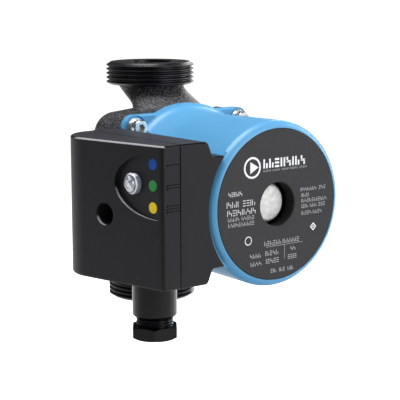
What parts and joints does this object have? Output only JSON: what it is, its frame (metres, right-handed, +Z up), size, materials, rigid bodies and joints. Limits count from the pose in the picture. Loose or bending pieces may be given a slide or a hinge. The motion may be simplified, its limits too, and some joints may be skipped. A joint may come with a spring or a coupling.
{
  "type": "circulator pump",
  "caption": "Wet-rotor heating circulator with inline male threaded ports, round motor and side control box.",
  "frame": {"origin": "centre of the lower (suction) port's end face", "axes": "+Z up along the pipe, from the lower port to the upper one; the motor points to -Y; the control box is on the -X side"},
  "size_m": [0.1258, 0.1319, 0.1326],
  "materials": {
    "cast_iron_black": "black electro-coated casting, grainy",
    "stainless": "pressed stainless sheet, satin",
    "impeller_composite": "moulded composite",
    "rubber_black": "EPDM rubber, matt",
    "carbon": "resin-bonded carbon, ground",
    "shaft_ceramic": "ground ceramic",
    "laminated_steel": "stacked sheet",
    "aluminium_cast": "as cast",
    "copper": "enamelled copper wire",
    "insulator_white": "moulded insulator",
    "motor_blue": "satin light-blue powder coat",
    "zinc_steel": "bright zinc plate",
    "plate_black": "satin charcoal with silver print",
    "plastic_black": "fine-grained black moulding",
    "board_green": "solder mask",
    "terminal_grey": "moulded",
    "ferrite": "dark ceramic",
    "clear_plastic": "clear moulding",
    "led_lens": "water-clear lens",
    "dot_blue": "printed disc",
    "dot_green": "printed disc",
    "dot_yellow": "printed disc"
  },
  "bodies": {
    "pump": {"base_screws": "zinc_steel", "bearing_plate": "stainless", "board_screws": "zinc_steel", "box_base": "plastic_black", "box_cover": "plastic_black", "capacitors": "aluminium_cast", "control_board": "board_green", "cover_screw": "zinc_steel", "cover_seal": "rubber_black", "discharge_port": "cast_iron_black", "display_board": "board_green", "flange_screws": "zinc_steel", "flange_washers": "zinc_steel", "front_bearing": "carbon", "gland_seal": "rubber_black", "housing_gasket": "rubber_black", "inductor": "ferrite", "mode_dot_blue": "dot_blue", "mode_dot_green": "dot_green", "mode_dot_yellow": "dot_yellow", "mode_led": "led_lens", "mode_switch": "ferrite", "motor_connector": "insulator_white", "motor_housing": "motor_blue", "name_plate": "plate_black", "power_module": "ferrite", "pump_housing": "cast_iron_black", "rear_bearing": "carbon", "rotor_can": "stainless", "saddle_gasket": "rubber_black", "stator_coils": "copper", "stator_core": "laminated_steel", "stator_end_caps": "insulator_white", "suction_port": "cast_iron_black", "terminal_block": "terminal_grey", "wear_ring": "stainless"},
    "rotor": {"shaft": "shaft_ceramic", "impeller": "impeller_composite", "impeller_shroud": "impeller_composite", "rotor_core": "laminated_steel", "rotor_end_rings": "aluminium_cast", "rotor_sleeve": "stainless", "thrust_washer": "carbon", "thrust_cushion": "rubber_black"},
    "button": {"mode_button": "clear_plastic", "switch_plunger": "terminal_grey"},
    "gland_carrier": {"gland_slip_ring": "plastic_black"},
    "gland_turn": {"gland_nut": "plastic_black"}
  },
  "joints": [
    {"name": "rotor_spin", "type": "hinge", "parent": "pump", "child": "rotor", "pos_m": [0, -0.06, 0.065], "axis": [0, 1, 0], "continuous": true},
    {"name": "mode_button_press", "type": "slide", "parent": "pump", "child": "button", "axis": [0.977, 0.213, 0], "range_m": [0, 0.001], "stiffness_N_per_m": 1500},
    {"name": "gland_travel", "type": "slide", "parent": "pump", "child": "gland_carrier", "axis": [0, 0, -1], "range_m": [0, 0.00423]},
    {"name": "gland_nut_turn", "type": "hinge", "parent": "gland_carrier", "child": "gland_turn", "pos_m": [-0.048, -0.07, 0], "axis": [0, 0, -1], "range_deg": [0, 1080]}
  ],
  "couplings": [
    {"joint": "gland_nut_turn", "follows": "gland_travel", "rad_per_m": 4453}
  ]
}
